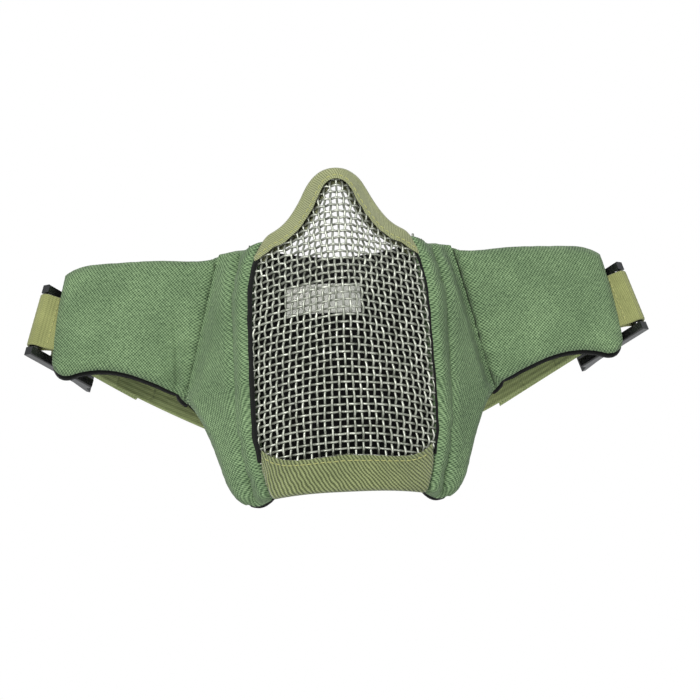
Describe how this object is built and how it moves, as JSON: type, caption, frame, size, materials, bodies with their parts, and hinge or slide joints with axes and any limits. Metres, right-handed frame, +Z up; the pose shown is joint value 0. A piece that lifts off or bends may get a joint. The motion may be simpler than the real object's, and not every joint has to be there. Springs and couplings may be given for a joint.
{
  "type": "half-face mesh mask",
  "caption": "Half-face mask with a woven steel mesh over nose and mouth, folding padded fabric wings, ladder locks and an elastic head strap.",
  "frame": {"origin": "where the wearer's face rests: on the centre plane, level with the middle of the wings, just behind the lining", "axes": "+Z up the face, -Y out of the front of the mask, +X towards the viewer's right seen from the front"},
  "size_m": [0.2764, 0.1009, 0.145],
  "materials": {
    "steel_mesh": "woven steel wire with a worn grey-olive coating",
    "khaki_tape": "woven polyester binding tape",
    "khaki_twill": "coarse diagonal twill",
    "green_canvas": "heavy twill canvas",
    "black_lining": "brushed knit lining",
    "black_cloth": "thin black mesh cloth",
    "white_label": "blank woven label",
    "pad_foam": "closed-cell foam",
    "khaki_webbing": "ribbed webbing",
    "khaki_elastic": "ribbed elastic",
    "black_plastic": "moulded acetal"
  },
  "bodies": {
    "centre": {"wire_mesh_panel": "steel_mesh", "nose_binding": "khaki_tape", "chin_panel": "khaki_twill", "inner_liner": "black_cloth", "care_label": "white_label", "left_hem": "green_canvas", "right_hem": "green_canvas", "head_strap": "khaki_elastic"},
    "left_cheek": {"left_cheek_cover": "green_canvas", "left_cheek_foam": "pad_foam", "left_cheek_lining": "black_lining"},
    "left_wing": {"left_wing_cover": "green_canvas", "left_wing_foam": "pad_foam", "left_wing_lining": "black_lining", "left_webbing_tab": "khaki_webbing"},
    "left_buckle": {"left_ladder_lock": "black_plastic", "left_strap_end": "khaki_elastic"},
    "right_cheek": {"right_cheek_cover": "green_canvas", "right_cheek_foam": "pad_foam", "right_cheek_lining": "black_lining"},
    "right_wing": {"right_wing_cover": "green_canvas", "right_wing_foam": "pad_foam", "right_wing_lining": "black_lining", "right_webbing_tab": "khaki_webbing"},
    "right_buckle": {"right_ladder_lock": "black_plastic", "right_strap_end": "khaki_elastic"}
  },
  "joints": [
    {"name": "left_cheek_fold", "type": "hinge", "parent": "centre", "child": "left_cheek", "pos_m": [-0.039, -0.011, 0], "axis": [0, 0, -1], "range_deg": [0, 25], "deforming": ["head_strap"]},
    {"name": "left_wing_fold", "type": "hinge", "parent": "left_cheek", "child": "left_wing", "pos_m": [-0.0563, 0.0023, 0], "axis": [-0.2581, 0.2431, -0.935], "range_deg": [-10, 30]},
    {"name": "left_buckle_swing", "type": "hinge", "parent": "left_wing", "child": "left_buckle", "pos_m": [-0.13, 0.009, 0.006], "axis": [-0.27, -0.2, -0.9419], "range_deg": [-20, 4]},
    {"name": "right_cheek_fold", "type": "hinge", "parent": "centre", "child": "right_cheek", "pos_m": [0.039, -0.011, 0], "axis": [0, 0, 1], "range_deg": [0, 25]},
    {"name": "right_wing_fold", "type": "hinge", "parent": "right_cheek", "child": "right_wing", "pos_m": [0.0563, 0.0023, 0], "axis": [-0.2581, -0.2431, 0.935], "range_deg": [-10, 30]},
    {"name": "right_buckle_swing", "type": "hinge", "parent": "right_wing", "child": "right_buckle", "pos_m": [0.13, 0.009, 0.006], "axis": [-0.27, 0.2, 0.9419], "range_deg": [-20, 4]}
  ]
}
